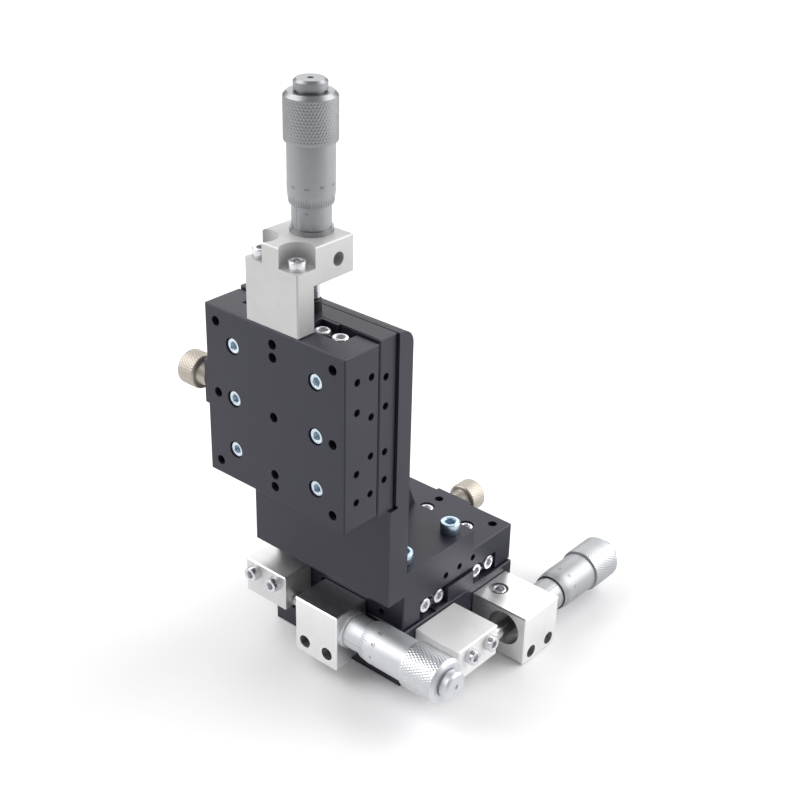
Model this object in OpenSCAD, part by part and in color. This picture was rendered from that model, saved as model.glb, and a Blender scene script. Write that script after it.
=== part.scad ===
// Three-axis linear stage: crossed-roller X and Y stages under an angle bracket with an upright Z stage.
// The origin is the centre of the bottom plate's underside. X runs right, Y back and Z up.
// Each stage is drawn in its own frame first: x along the travel, y across, z = 0 at the table's face.

/* [Stages] */
// Side of each square table
table_side = 60; // [58:1:70]
// Height of a table, from its face to the ends of its legs
table_t = 15; // [14:0.5:18]
// Thickness of a table between its face and its channel
web_t = 7.7; // [7:0.1:8]
// Thickness of a base plate
plate_t = 7.7; // [7:0.1:10]
// How far a base plate reaches past its table at each end, at mid travel
base_overhang = 1; // [0:0.5:4]
// Free height between a table's legs and the base plate under them
stage_gap = 0.3; // [0.3:0.05:0.8]
// Travel of each slide from its middle to either end
half_travel = 6.5; // [3:0.5:6.5]
// Height of the raised land that a base rail sits on
land_h = 0.8; // [0.5:0.1:1]
// Free height between a base's central rib and the table above it
rib_gap = 0.7; // [0.4:0.1:1.5]
// Width of the chamfer on the edges of plates
edge_c = 0.4; // [0.2:0.1:0.8]

/* [Crossed roller guides] */
// Half the width of the rib between the base rails
rib_half = 7.1; // [6:0.1:7.5]
// Width of a rail
rail_w = 6.6; // [6.2:0.1:7]
// Height of a rail
rail_h = 6.4; // [5.6:0.1:6.6]
// Gap between the facing sides of a rail pair
rail_gap = 0.8; // [0.7:0.05:1]
// How far the rails of the X and Z stages end inside their table
rail_inset = 2; // [2:0.5:4]
// Length of the rails of the Y stage
y_rail_len = 43; // [40:1:43]
// Distance from the end of an X or Z rail to its nearest fixing screw
rail_margin = 9.5; // [8:0.5:11]
// Distance from the end of a Y rail to its nearest fixing screw
y_rail_margin = 8.5; // [7:0.5:10]
// Diameter of a roller
roller_d = 2; // [1.6:0.1:2.2]
// Length of a roller
roller_len = 1.9; // [1.3:0.1:1.9]
// Running clearance between a roller and the groove it rolls in
roller_clear = 0.05; // [0.03:0.01:0.1]
// Distance between rollers
roller_pitch = 4; // [3:0.5:5]
// Number of rollers in a cage
roller_n = 9; // [5:1:9]
// Thickness of a cage strip
cage_t = 0.4; // [0.3:0.05:0.5]
// Height of a cage strip
cage_h = 4; // [3:0.2:4.6]

/* [Angle bracket] */
// Height of the Z table's centre above the bracket's underside
z_centre_h = 68; // [66:1:90]
// Distance of the front foot screws from the upright behind the Z stage
foot_screw_room = 4.9; // [4.2:0.1:10]
// Thickness of the bracket's upright
upright_t = 6.4; // [5:0.2:9]
// Thickness of the bracket's foot
foot_t = 9; // [7:0.5:12]
// How far the foot reaches back past the X table's centre
foot_reach = 6; // [5:0.5:25]
// Depth of the ledge that carries the Z base's lower end
ledge_d = 2.6; // [1.5:0.1:4]
// Thickness of the central gusset
gusset_t = 8; // [6:0.5:12]
// Radius of the upright's rear top edge
upright_r = 5; // [2:0.5:6]

/* [Micrometer heads] */
// Travel of a micrometer for one turn
pitch = 0.5; // [0.5:0.5:1]
// Diameter of the spindle
spindle_d = 5; // [4.5:0.1:5.4]
// Running clearance of a spindle in its barrel, on the radius
spindle_clear = 0.03; // [0.02:0.01:0.06]
// Diameter of the barrel's stem in its holder
stem_d = 9.5; // [8.5:0.1:10]
// Diameter of the barrel's flange
flange_d = 13.4; // [13:0.1:14.4]
// Thickness of the barrel's flange
flange_t = 1.5; // [1:0.1:2]
// Diameter of the graduated barrel
barrel_d = 12.2; // [11:0.1:12.4]
// Length of the barrel outside its holder
barrel_len = 29; // [24:0.5:30]
// Distance from the holder to the thimble's edge at mid travel
thimble_start = 9; // [8.6:0.1:11]
// Length of the thimble's taper
thimble_taper = 3.6; // [2:0.1:5]
// Diameter of the plain part of the thimble
thimble_d = 14.6; // [14.2:0.1:16]
// Wall of the thimble at its edge
thimble_edge = 0.3; // [0.2:0.05:0.6]
// Free gap between barrel and thimble, on the radius
thimble_gap = 0.35; // [0.3:0.05:0.5]
// Length of the thimble's taper and plain part
thimble_plain = 18.8; // [16:0.2:24]
// Diameter of the knurled grip
grip_d = 16.4; // [15:0.2:20]
// Length of the knurled grip
grip_len = 13.4; // [10:0.2:16]
// Length of the bevel at the grip's end
grip_bevel = 1.2; // [0.6:0.1:2]
// Diameter of the end cap
cap_d = 10.2; // [8:0.2:13]
// Length of the end cap
cap_len = 3.6; // [2.5:0.1:6]

/* [Z holder] */
// Half the width of the Z holder
z_holder_half = 11; // [10:0.5:13]
// Thickness of the leg that stands on the Z table
z_leg_t = 7.3; // [6:0.1:7.5]
// Height of the Z holder
z_holder_h = 27; // [24:0.5:34]
// Height of the Z holder's arm
z_arm_h = 12.1; // [11:0.1:14]
// Depth of the Z holder from front to back
z_holder_depth = 24.3; // [24:0.1:30]
// Distance from the Z table's face to the Z spindle
z_spindle_back = 17.5; // [17.3:0.1:20]
// Distance of the Z holder's screws from its centre
z_screw_x = 7.5; // [6:0.1:8]
// Radius of the pockets round the Z holder's screws
pocket_r = 5.4; // [4.4:0.2:5.6]
// Depth of the pockets round the Z holder's screws
pocket_d = 6.5; // [4.5:0.1:8]

/* [X and Y holders] */
// Length of a holder along its micrometer
holder_len = 19.5; // [17:0.5:22]
// Left side of the X holder
x_holder_left = -6; // [-6:0.5:-3]
// Depth of the X holder in front of the middle plate
x_holder_depth = 15.3; // [14:0.1:18]
// Height of the X holder
x_holder_h = 20.3; // [19:0.1:23]
// How far the X holder's front lip reaches below the middle plate
x_lip_h = 1.7; // [0.5:0.1:2.5]
// Distance of the X spindle in front of the middle plate
x_spindle_out = 7.6; // [7.6:0.1:8]
// Height of the X spindle above the bottom plate's underside
x_spindle_h = 20.3; // [19.8:0.1:21]
// Front of the Y holder
y_holder_front = 7; // [6.9:0.1:9]
// How far the Y holder reaches out past the side of the middle plate
y_holder_w = 23.9; // [22.5:0.1:27]
// Height of the Y holder
y_holder_h = 19.5; // [19:0.1:22]
// Height of the Y holder above the bench
y_holder_lift = 0.5; // [0.3:0.1:1.5]
// Distance of the Y spindle from the side of the middle plate
y_spindle_out = 14.5; // [13:0.1:15]
// Height of the Y spindle above the bottom plate's underside
y_spindle_h = 12.2; // [11.8:0.1:13]
// Distance of the two screws of a holder from its middle
holder_screw_half = 5.2; // [4:0.1:6]

/* [Push blocks] */
// Length of the X push block along its slide
x_push_len = 19.5; // [18:0.1:23]
// Length of the Y push block along its slide
y_push_len = 21.2; // [18:0.1:23]
// Distance from the X holder to the X push block at mid travel
x_push_gap = 6.8; // [6.8:0.1:9]
// Depth of the X push block in front of the X table
x_push_depth = 13.3; // [11:0.1:15]
// Height of the X push block
x_push_h = 13.6; // [12.5:0.1:13.8]
// Height of the X push block's underside
x_push_low = 17.8; // [16:0.1:17.8]
// Distance from the Y holder to the Y push block at mid travel
y_push_gap = 10.5; // [7:0.1:12]
// Width of the Y push block beside the middle plate
y_push_w = 19.5; // [18.5:0.1:22]
// Height of the Y push block
y_push_h = 12.5; // [11:0.1:13]
// Height of the Y push block's underside
y_push_low = 9.4; // [8.4:0.1:9.5]
// Distance of the two screws of a push block from its middle
push_screw_half = 5; // [4:0.1:6]

/* [Lock knobs] */
// Diameter of a lock knob's knurled grip
knob_d = 12; // [10:0.5:14]
// Length of a lock knob's knurled grip
knob_len = 7.5; // [6:0.5:10]
// Diameter of a lock knob's neck
knob_neck_d = 8; // [6:0.2:9]
// Length of a lock knob's neck
knob_neck_len = 3.7; // [2:0.1:6]
// Diameter of a lock screw
lock_screw_d = 4; // [3:0.1:5]
// Running clearance of a lock screw in its plate, on the radius
lock_clear = 0.06; // [0.03:0.01:0.1]
// Thickness of a lock plate
lock_plate_t = 4.5; // [4:0.1:6]
// Width of a lock plate
lock_plate_w = 16; // [14:0.5:22]
// Distance of a lock knob's centre from the table's face
lock_depth = 6.7; // [6:0.1:7]

/* [Fasteners] */
// Diameter of the tapped holes in tables and plates
tap_d = 3.3; // [2.5:0.1:3.5]
// Depth of the tapped holes
tap_depth = 6; // [4:0.5:6.5]
// Distance of the corner holes from the sides of a table
hole_inset = 5; // [4.5:0.25:7]
// Diameter of the small screws' shanks
small_d = 3; // [2.5:0.1:3]
// Diameter of the small screws' heads
small_head_d = 5.4; // [5:0.1:5.8]
// Height of the small screws' heads
small_head_h = 3; // [2.4:0.1:3.2]
// Diameter of the mounting holes in the bottom plate
base_hole_d = 4.5; // [4.3:0.1:5]
// Diameter of the recesses for the heads of the mounting screws
base_recess_d = 8; // [7.5:0.1:8.5]
// Depth of the recesses for the heads of the mounting screws
base_recess = 4.4; // [4:0.1:5]
// Depth of the tapped holes in the ends of a table
end_hole_depth = 3; // [2:0.2:3]
// Distance of the mounting holes from the front and back of the bottom plate
base_hole_inset = 6; // [5:0.5:8]
// Diameter of the foot screws' heads
foot_head_d = 7; // [6:0.1:8]
// Height of the foot screws' heads
foot_head_h = 4; // [3:0.1:4.5]

/* [Hidden] */
$fn = 48;
// A cut's overrun past the face it starts from
over = 1;
// Gap between two bodies that pass each other
pass_gap = 0.3;
// Gap between parts that touch in use but turn against each other
touch_gap = 0.1;
// Gap round a screw in its hole
screw_gap = 0.1;

// Lengths and spacings that follow the tables' side
base_len = table_side + 2 * base_overhang;
rail_len = table_side - 2 * rail_inset;
hole_span = table_side - 2 * hole_inset;
bracket_w = base_len;

// Heights in the XY stack
base_top = plate_t;
middle_low = base_top + stage_gap;
middle_top = middle_low + table_t;
x_table_low = middle_top + stage_gap;
x_table_top = x_table_low + table_t;
base_depth = table_t + stage_gap;
stage_t = base_depth + plate_t;

// Centre lines of the guides in a stage's own frame
leg_in = rib_half + rail_w + rail_gap + rail_w;
base_rail_y = rib_half + rail_w / 2;
table_rail_y = leg_in - rail_w / 2;
cage_y = rib_half + rail_w + rail_gap / 2;
land_z = -base_depth + land_h;
guide_z = (land_z - web_t) / 2;
groove_d = (roller_d + 2 * roller_clear) / sqrt(2) - rail_gap / 2;
base_rail_z = land_z + rail_h / 2;
table_rail_z = -web_t - rail_h / 2;
rib_top = -web_t - rib_gap;

// Screws at the ends of the rails
end_head_d = 5.4;
end_head_h = 1.7;
end_shank_d = 2;
end_shank_len = 3.5;
hex_share = 0.48;
socket_depth_share = 0.55;

// Places of the screws that hold a table's rails
rail_screw_x = rail_len / 2 - rail_margin;
y_rail_screw_x = y_rail_len / 2 - y_rail_margin;
table_screw_xs = [-rail_screw_x, 0, rail_screw_x];
middle_screw_xs = [-y_rail_screw_x, y_rail_screw_x];
table_screw_sink = 0.5;
rail_thread_len = 3;

// Places of a table's tapped holes along its centre line
centre_hole_xs = [20.6, hole_span / 2];
// Tapped holes in the sides of a table and a base, and the screws that press the rails
side_hole_d = 2.5;
side_hole_depth = 5;
table_side_xs = [10.6, 20.7];
table_side_z = -5.3;
// Height of the tapped holes in a table's ends
table_end_z = -3.6;
preload_xs = [6.8, 20.3];
preload_z = -11.6;
base_side_xs = [8, 18];
base_side_z = -18.1;

// Return springs
spring_r = 1.7;
spring_wire_r = 0.25;
spring_turns = 14;
spring_steps = 10;
spring_sides = 6;
spring_half = 11.9;
spring_cover = 1.6;
spring_z = rib_top - spring_r - spring_cover;
// Share of the spring's length over which its coils widen, as steps of the whole
coil_ramp_steps = 12;
pin_d = 1.6;
pin_sink = 1.2;
// Share of a pin's diameter that stays free round it
pin_room_share = 1.5;
slot_half_w = 2.6;
slot_under = 1;
slot_floor_z = spring_z - spring_r - slot_under;
hook_len = 1.6;
// Share of a roller's pitch that a cage reaches past its end rollers
cage_end_share = 0.75;

// Z stage in the shared frame
z_reach = hole_span / 2 + foot_screw_room + upright_t + stage_t;
z_face_y = -z_reach;
z_centre_z = x_table_top + z_centre_h;
z_base_back_y = z_face_y + stage_t;
upright_back_y = z_base_back_y + upright_t;
bracket_top = z_centre_z + base_len / 2;
ledge_z = z_centre_z - base_len / 2;
relief_w = 1.2;
relief_d = 0.8;
gusset_drop = 1.5;

// Z holder and anvil
z_holder_low = z_centre_z + table_side / 2;
z_holder_top = z_holder_low + z_holder_h;
z_arm_low = z_holder_top - z_arm_h;
anvil_d = 6;
anvil_h = 4;
pocket_y = -table_end_z;
set_screw_d = 4.5;
set_screw_depth = 6;
set_screw_rise = 5.9;

// X holder and push block
x_holder_mid = x_holder_left + holder_len / 2;
x_push_right = x_holder_left - x_push_gap;
x_push_mid = x_push_right - x_push_len / 2;
x_push_screw_rise = 9.6;
x_screw_rise = 3.4;
x_spindle_y = -table_side / 2 - x_spindle_out;
dark_screw_sink = 2.4;
dark_hole_d = 4.8;
dark_head_d = dark_hole_d - 2 * screw_gap;
dark_shank_d = 2.5;
// The X holder's lip passes in front of the bottom plate at the end of the Y travel
x_lip_back = -base_len / 2 - half_travel - pass_gap;

// Y holder and push block
y_holder_mid = y_holder_front + holder_len / 2;
y_holder_back = y_holder_front + holder_len;
y_push_back = y_holder_front - y_push_gap;
y_push_mid = y_push_back - y_push_len / 2;
y_push_screw_rise = 8.5;
y_screw_rise = 3.7;
y_side_x = base_len / 2;
y_spindle_x = y_side_x + y_spindle_out;
y_holder_right = y_side_x + y_holder_w;
counterbore_d = 13;
x_counterbore_d = 11.4;
counterbore_len = 13;
clamp_out = 5.2;
clamp_back = 8.9;
clamp_hole_d = 7;

// Lock plates
lock_relief = (base_len - table_side) / 2 + pass_gap;
lock_plate_top = -2.5;
lock_plate_lift = 0.6;
lock_plate_low = -stage_t + lock_plate_lift;
lock_screw_half = 4.5;
knob_chamfer = 0.6;
countersink_d = 5.6;
countersink_h = 1.6;

// Colours
black = [0.17, 0.17, 0.2];
steel = [0.72, 0.72, 0.74];
alloy = [0.86, 0.86, 0.84];
chrome = [0.78, 0.79, 0.8];
nickel = [0.76, 0.71, 0.62];
brass = [0.76, 0.62, 0.32];
oxide = [0.12, 0.12, 0.13];

// Frames of the three stages and their micrometers

module x_frame() {
  translate([0, 0, x_table_top]) children();
}

module y_frame() {
  translate([0, 0, middle_top]) rotate([0, 0, 90]) children();
}

module z_frame() {
  translate([0, z_face_y, z_centre_z]) rotate([90, -90, 0]) children();
}

module x_micrometer_frame() {
  translate([x_holder_left + holder_len, x_spindle_y, x_spindle_h]) rotate([0, 90, 0]) children();
}

module y_micrometer_frame() {
  translate([y_spindle_x, y_holder_back, y_spindle_h]) rotate([-90, 0, 0]) children();
}

module z_micrometer_frame() {
  translate([0, z_face_y + z_spindle_back, z_holder_top]) children();
}

// Shared shapes

// A rectangle from the origin with its corners cut at 45 degrees
module cut_rectangle(w, h, c) {
  polygon([[c, 0], [w - c, 0], [w, c], [w, h - c], [w - c, h], [c, h], [0, h - c], [0, c]]);
}

// A block from the origin with all of its edges chamfered
module block(size, c) {
  intersection() {
    linear_extrude(size[2]) cut_rectangle(size[0], size[1], c);
    translate([0, size[1], 0]) rotate([90, 0, 0]) linear_extrude(size[1]) cut_rectangle(size[0], size[2], c);
    rotate([90, 0, 90]) linear_extrude(size[0]) cut_rectangle(size[1], size[2], c);
  }
}

// A block between two corners
module block_between(low, high, c) {
  translate(low) block(high - low, c);
}

// A hole down from z = 0, with its mouth open
module hole(d, depth) {
  translate([0, 0, -depth]) cylinder(d = d, h = depth + over);
}

// A socket head screw: the head's underside is at z = 0 and the shank goes down
module cap_screw(head_d, head_h, shank_d, shank_len) {
  difference() {
    union() {
      cylinder(d = head_d, h = head_h);
      translate([0, 0, -shank_len]) cylinder(d = shank_d, h = shank_len + head_h / 2);
    }
    translate([0, 0, head_h * (1 - socket_depth_share)])
      cylinder(d = head_d * hex_share, h = head_h, $fn = 6);
  }
}

// Copies at both signs of x
module both_x(x) {
  for (s = [-1, 1]) translate([s * x, 0, 0]) children();
}

// Copies at both signs of y
module both_y(y) {
  for (s = [-1, 1]) translate([0, s * y, 0]) children();
}

// Turns a screw or hole made along z so that it goes in from the side at -y
module from_front() {
  rotate([90, 0, 0]) children();
}

// Turns a screw or hole made along z so that it goes in from the side at +x
module from_right() {
  rotate([0, 90, 0]) children();
}

// Stage parts

module table_holes() {
  both_x(hole_span / 2) both_y(hole_span / 2) hole(tap_d, tap_depth);
  both_y(hole_span / 2) hole(tap_d, tap_depth);
  hole(tap_d, tap_depth);
  for (x = centre_hole_xs) both_x(x) hole(tap_d, tap_depth);
}

// Counterbored holes for the screws that hold the table's rails
module rail_screw_holes(xs) {
  for (x = xs) {
    both_y(table_rail_y) translate([x, 0, 0]) {
      hole(small_head_d + 4 * screw_gap, small_head_h + table_screw_sink);
      hole(small_d + 2 * screw_gap, web_t + over);
    }
  }
}

module channel(len) {
  translate([-len / 2 - over, -leg_in, -table_t - over])
    cube([len + 2 * over, 2 * leg_in, table_t - web_t + over]);
}

// Tapped holes along both sides, at one height
module side_holes(xs, z, sides) {
  for (x = xs) {
    for (s = sides) {
      both_x(x) translate([0, s * (table_side / 2 - side_hole_depth), z]) rotate([-90 * s, 0, 0])
        cylinder(d = side_hole_d, h = side_hole_depth + over);
    }
  }
}

// Tapped holes in the ends of a table
module end_holes(ends) {
  for (s = ends) {
    for (y = [-z_screw_x, 0, z_screw_x]) {
      translate([s * table_side / 2, y, table_end_z]) rotate([0, s * 90, 0])
        hole(side_hole_d, end_hole_depth);
    }
  }
}

// Screw holes that press on the table's rails, through one leg
module preload_holes() {
  for (x = preload_xs) {
    both_x(x) translate([0, -leg_in + over, preload_z]) rotate([90, 0, 0])
      cylinder(d = side_hole_d, h = table_side / 2 - leg_in + 2 * over);
  }
}

// Pin that a return spring pulls on, from z = 0 down
module spring_pin(len) {
  translate([0, 0, -len]) cylinder(d = pin_d, h = len);
}

// The hanging pin of a table, which its spring pulls on
module table_pin() {
  translate([spring_half + hook_len, 0, -web_t]) spring_pin(-spring_z - web_t + pin_d);
}

// A plain table with its channel, holes and spring pin: ends lists the ends that have tapped holes
module stage_table(ends) {
  difference() {
    block_between([-table_side / 2, -table_side / 2, -table_t], [table_side / 2, table_side / 2, 0], edge_c);
    channel(table_side);
    table_holes();
    rail_screw_holes(table_screw_xs);
    side_holes(table_side_xs, table_side_z, [-1, 1]);
    end_holes(ends);
    preload_holes();
  }
  table_pin();
}

// The rib and lands of a base, on top of its plate
module base_rib(len) {
  difference() {
    union() {
      translate([-len / 2, -rib_half, -base_depth]) cube([len, 2 * rib_half, base_depth + rib_top]);
      translate([-len / 2, -rib_half - rail_w, -base_depth]) cube([len, 2 * (rib_half + rail_w), land_h]);
    }
    spring_slot();
  }
  translate([-spring_half - hook_len, 0, spring_z + pin_d])
    spring_pin(spring_z + pin_d - slot_floor_z + pin_sink);
}

// The slot in a rib that its return spring lies in
module spring_slot() {
  slot_left = -spring_half - hook_len - pin_room_share * pin_d;
  slot_right = spring_half + hook_len + half_travel + pin_room_share * pin_d;
  translate([slot_left, -slot_half_w, slot_floor_z])
    cube([slot_right - slot_left, 2 * slot_half_w, rib_top - slot_floor_z + over]);
}

module base_plate_block(len) {
  block_between([-len / 2, -table_side / 2, -stage_t], [len / 2, table_side / 2, -base_depth], edge_c);
}

// A rail centred on its groove's height, which is groove_z above the rail's own middle
module rail(len, facing, groove_z) {
  difference() {
    rotate([90, 0, 90]) translate([0, groove_z]) linear_extrude(len, center = true)
      rail_part(facing, groove_z);
    for (s = [-1, 1]) {
      translate([s * len / 2, 0, groove_z]) rotate([0, s * 90, 0])
        hole(end_shank_d + 2 * screw_gap, end_shank_len + over);
    }
  }
}

// The rail's outline with its groove moved off the middle by groove_z
module rail_part(facing, groove_z) {
  flip = facing > 0 ? 0 : 1;
  mirror([flip, 0]) polygon([
    [-rail_w / 2, -rail_h / 2 - groove_z],
    [rail_w / 2, -rail_h / 2 - groove_z],
    [rail_w / 2, -groove_d],
    [rail_w / 2 - groove_d, 0],
    [rail_w / 2, groove_d],
    [rail_w / 2, rail_h / 2 - groove_z],
    [-rail_w / 2, rail_h / 2 - groove_z]
  ]);
}

// A base rail: side is -1 at -y and 1 at +y
module base_rail(len, side) {
  color(steel) translate([0, side * base_rail_y, base_rail_z]) rail(len, side, guide_z - base_rail_z);
}

// A table rail, with the tapped holes of its screws
module table_rail(len, side, xs) {
  color(steel) difference() {
    translate([0, side * table_rail_y, table_rail_z]) rail(len, -side, guide_z - table_rail_z);
    for (x = xs) {
      translate([x, side * table_rail_y, -web_t]) hole(small_d + 2 * screw_gap, rail_thread_len + over);
    }
  }
}

// A cage strip with its rollers, which lean to one side and the other in turn
module cage(side) {
  color(brass) translate([0, side * cage_y, guide_z]) {
    cage_len = roller_pitch * (roller_n - 1 + 2 * cage_end_share);
    translate([-cage_len / 2, -cage_t / 2, -cage_h / 2]) cube([cage_len, cage_t, cage_h]);
    for (i = [0 : roller_n - 1]) {
      lean = i % 2 == 0 ? 45 : -45;
      translate([(i - (roller_n - 1) / 2) * roller_pitch, 0, 0]) rotate([lean, 0, 0])
        cylinder(d = roller_d, h = roller_len, center = true);
    }
  }
}

// Screws at both ends of a pair of rails
module rail_end_screws(len, y, z) {
  for (s = [-1, 1]) {
    both_y(y) translate([s * len / 2, 0, z]) rotate([0, s * 90, 0])
      cap_screw(end_head_d, end_head_h, end_shank_d, end_shank_len);
  }
}

// Return spring: the route runs straight out of a pin, along the coil and straight into the other pin
function spring_point(t) =
  let (turns_t = t * spring_turns * 360, ramp = min(1, coil_ramp_steps * t, coil_ramp_steps * (1 - t)))
  [(2 * t - 1) * spring_half, ramp * spring_r * cos(turns_t), spring_z + ramp * spring_r * sin(turns_t)];

function spring_path() = concat(
  [[-spring_half - hook_len + pin_d / 2 + touch_gap, 0, spring_z]],
  [for (i = [0 : spring_turns * spring_steps]) spring_point(i / (spring_turns * spring_steps))],
  [[spring_half + hook_len - pin_d / 2 - touch_gap, 0, spring_z]]
);

// A tube of spring wire along a list of points
module wire(points) {
  last = len(points) - 1;
  function unit(v) = v / norm(v);
  function way(i) = unit(points[min(i + 1, last)] - points[max(i - 1, 0)]);
  function side_of(v) = unit(cross(v, abs(v[1]) < 0.9 ? [0, 1, 0] : [0, 0, 1]));
  rings = [
    for (i = [0 : last])
      let (w = i == 0 || i == last ? [1, 0, 0] : way(i), a = side_of(w), b = cross(w, a))
      for (k = [0 : spring_sides - 1])
        let (turn = 360 * k / spring_sides)
        points[i] + spring_wire_r * (cos(turn) * a + sin(turn) * b)
  ];
  sides = [
    for (i = [0 : last - 1])
      for (k = [0 : spring_sides - 1])
        let (
          p = i * spring_sides + k,
          q = i * spring_sides + (k + 1) % spring_sides
        )
        each [[p, q, q + spring_sides], [p, q + spring_sides, p + spring_sides]]
  ];
  first_cap = [for (k = [1 : spring_sides - 2]) [0, k + 1, k]];
  base = last * spring_sides;
  last_cap = [for (k = [1 : spring_sides - 2]) [base, base + k, base + k + 1]];
  polyhedron(points = rings, faces = concat(sides, first_cap, last_cap), convexity = 10);
}

module spring() {
  color(steel) wire(spring_path());
}

// A lock plate on the +y side: it is fixed to the base plate and stands clear of the table
module lock_plate() {
  side = table_side / 2;
  color(black) difference() {
    block_between(
      [-lock_plate_w / 2, side, lock_plate_low],
      [lock_plate_w / 2, side + lock_plate_t, lock_plate_top],
      edge_c
    );
    translate([-lock_plate_w / 2 - over, side - over, -base_depth - pass_gap])
      cube([lock_plate_w + 2 * over, lock_relief + over, base_depth + over]);
    translate([0, side, -lock_depth]) rotate([-90, 0, 0])
      cylinder(d = lock_screw_d + 2 * lock_clear, h = lock_plate_t + over);
    both_x(lock_screw_half) translate([0, side + lock_plate_t, base_side_z]) rotate([-90, 0, 0])
      lock_screw_hole();
  }
}

module lock_screw_hole() {
  hole(countersink_d + 2 * screw_gap, countersink_h);
  hole(small_d + 2 * screw_gap, lock_plate_t + over);
}

// The two flat screws that hold a lock plate
module lock_plate_screws() {
  both_x(lock_screw_half) translate([0, table_side / 2 + lock_plate_t - countersink_h, base_side_z])
    rotate([-90, 0, 0])
      cap_screw(countersink_d, countersink_h - screw_gap, small_d, lock_plate_t - countersink_h);
}

// A lock knob and its screw, which ends just off the side that it presses
module lock_knob(pressed_y) {
  neck_start = table_side / 2 + lock_plate_t + pass_gap;
  grip_start = neck_start + knob_neck_len;
  r = knob_d / 2;
  c = knob_chamfer;
  color(nickel) translate([0, 0, -lock_depth]) rotate([-90, 0, 0]) {
    translate([0, 0, pressed_y + pass_gap]) cylinder(d = lock_screw_d, h = neck_start - pressed_y);
    translate([0, 0, neck_start]) cylinder(d = knob_neck_d, h = knob_neck_len + c);
    translate([0, 0, grip_start]) rotate_extrude()
      polygon([[0, 0], [r - c, 0], [r, c], [r, knob_len - c], [r - c, knob_len], [0, knob_len]]);
  }
}

// Micrometer parts: z = 0 is the holder's outer face and the spindle points down

module barrel(stem_len) {
  color(chrome) difference() {
    union() {
      translate([0, 0, -stem_len]) cylinder(d = stem_d, h = stem_len + flange_t);
      cylinder(d = flange_d, h = flange_t);
      cylinder(d = barrel_d, h = barrel_len);
    }
    translate([0, 0, -stem_len - over])
      cylinder(d = spindle_d + 2 * spindle_clear, h = stem_len + barrel_len + 2 * over);
  }
}

thimble_body = thimble_start + thimble_plain;
grip_end = thimble_body + grip_len;
thimble_end = grip_end + grip_bevel;
bore_end = barrel_len + half_travel + 2 * pass_gap;

module thimble() {
  bore_r = barrel_d / 2 + thimble_gap;
  color(chrome) rotate_extrude(convexity = 4) polygon([
    [bore_r, thimble_start],
    [bore_r + thimble_edge, thimble_start],
    [thimble_d / 2, thimble_start + thimble_taper],
    [thimble_d / 2, thimble_body],
    [grip_d / 2 - thimble_edge, thimble_body],
    [grip_d / 2, thimble_body + thimble_edge],
    [grip_d / 2, grip_end],
    [grip_d / 2 - grip_bevel, thimble_end],
    [spindle_d / 2 + screw_gap, thimble_end],
    [spindle_d / 2 + screw_gap, bore_end],
    [bore_r, bore_end]
  ]);
}

// The spindle reaches from its rounded tip up to the end cap
module spindle(reach) {
  tip_c = 0.4;
  r = spindle_d / 2;
  color(steel) rotate_extrude() polygon([
    [0, -reach],
    [r - tip_c, -reach],
    [r, -reach + tip_c],
    [r, thimble_end],
    [0, thimble_end]
  ]);
}

module end_cap() {
  neck_share = 0.84;
  neck_h = 0.6;
  round_h = 0.8;
  dimple_r = 1;
  dimple_d = 0.4;
  r = cap_d / 2;
  top = thimble_end + cap_len;
  color(chrome) rotate_extrude() polygon([
    [0, thimble_end],
    [r * neck_share, thimble_end],
    [r * neck_share, thimble_end + neck_h],
    [r, thimble_end + neck_h],
    [r, top - round_h],
    [r - round_h, top],
    [dimple_r, top],
    [dimple_r, top - dimple_d],
    [0, top - dimple_d]
  ]);
}

// Distance from each holder's outer face to the face its spindle presses
x_reach = holder_len + x_push_gap - touch_gap;
y_reach = holder_len + y_push_gap - touch_gap;
z_reach_down = z_holder_top - (z_centre_z + base_len / 2 + anvil_h + touch_gap);

// Bottom plate and what is fixed to it

module y_base_plate() {
  color(black) y_frame() difference() {
    union() {
      base_plate_block(base_len);
      base_rib(y_rib_len);
    }
    side_holes(base_side_xs, base_side_z, [-1, 1]);
    mounting_holes();
  }
}

// Through holes in the bottom plate, with recesses for the heads of the mounting screws
module mounting_holes() {
  both_x(base_len / 2 - base_hole_inset) both_y(hole_span / 2) translate([0, 0, -base_depth]) {
    hole(base_hole_d, plate_t + over);
    hole(base_recess_d, base_recess);
  }
}

y_rib_len = table_side - 2 * (half_travel + pass_gap);

module y_holder() {
  low = [table_side / 2, y_holder_front, y_holder_lift];
  high = [y_holder_right, y_holder_back, y_holder_lift + y_holder_h];
  step = y_side_x - table_side / 2 + pass_gap;
  color(alloy) difference() {
    block_between(low, high, edge_c);
    translate([low[0] - over, low[1] - over, base_top + stage_gap / 2])
      cube([step + over, holder_len + 2 * over, high[2]]);
    y_micrometer_frame() translate([0, 0, -holder_len - over])
      cylinder(d = stem_d, h = holder_len + 2 * over);
    y_micrometer_frame() translate([0, 0, -holder_len - over])
      cylinder(d = counterbore_d, h = counterbore_len + over);
    translate([high[0], y_holder_mid, low[2] + y_screw_rise]) from_right() {
      both_y(holder_screw_half) hole(dark_hole_d, dark_screw_sink + small_head_h);
      both_y(holder_screw_half) hole(dark_shank_d + 2 * screw_gap, high[0] - low[0] + over);
    }
    translate([y_side_x + clamp_out, low[1] + clamp_back, high[2]]) hole(clamp_hole_d, small_head_h);
    translate([y_side_x + clamp_out, low[1] + clamp_back, high[2]])
      hole(small_d + 2 * screw_gap, y_holder_h / 2);
  }
}

module y_barrel() {
  y_micrometer_frame() barrel(holder_len - counterbore_len);
}

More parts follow.
